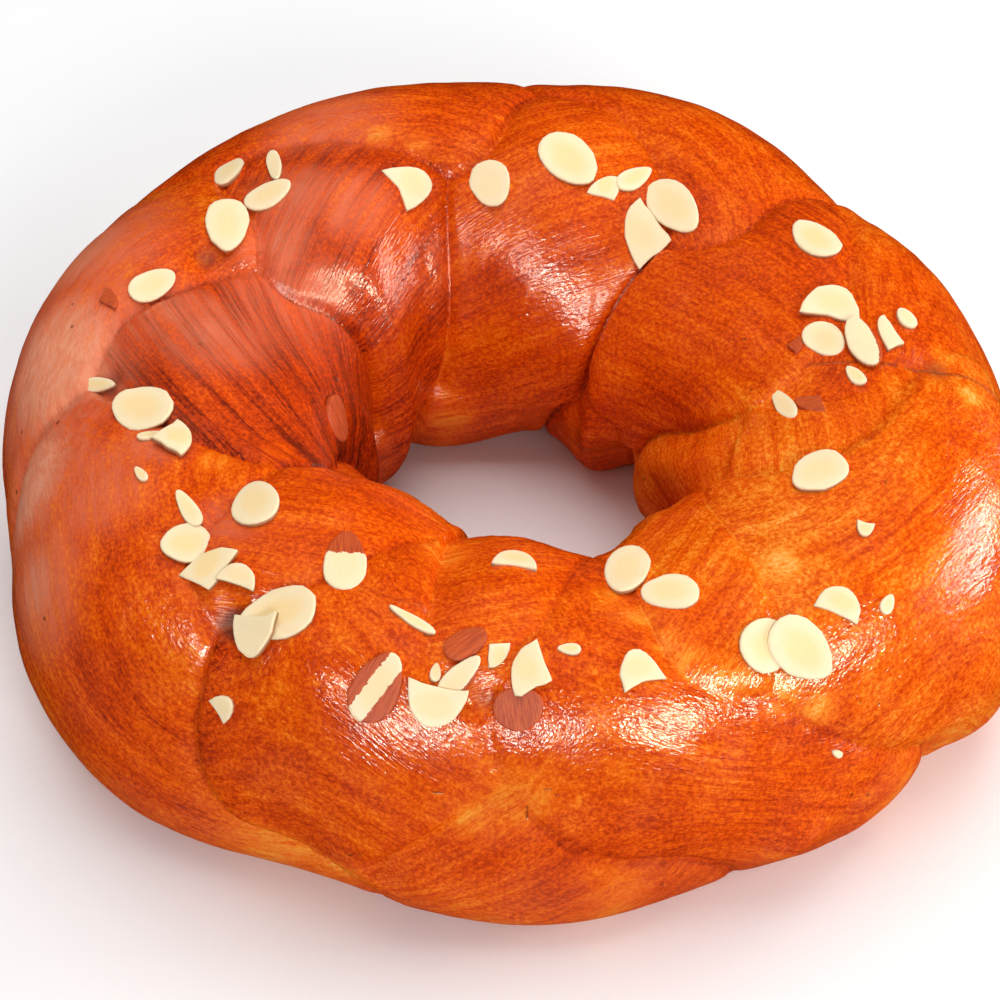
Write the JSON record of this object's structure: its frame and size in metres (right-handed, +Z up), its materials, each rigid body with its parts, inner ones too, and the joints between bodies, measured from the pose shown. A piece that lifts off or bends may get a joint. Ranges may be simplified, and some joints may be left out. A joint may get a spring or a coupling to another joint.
{
  "type": "braided bread ring",
  "caption": "Round glazed loaf of three-strand braided sweet bread joined into a ring, with flaked almonds scattered over its crust.",
  "frame": {"origin": "middle of the bread's outer size, on the surface that it rests on", "axes": "+Z up; -Y towards the side that faces the viewer in the picture; +X to the right in the picture"},
  "size_m": [0.3178, 0.308, 0.1027],
  "materials": {
    "crust": "egg-glazed baked crust, orange-brown to red-brown"
  },
  "bodies": {
    "root": {"bread": "crust"}
  },
  "joints": []
}
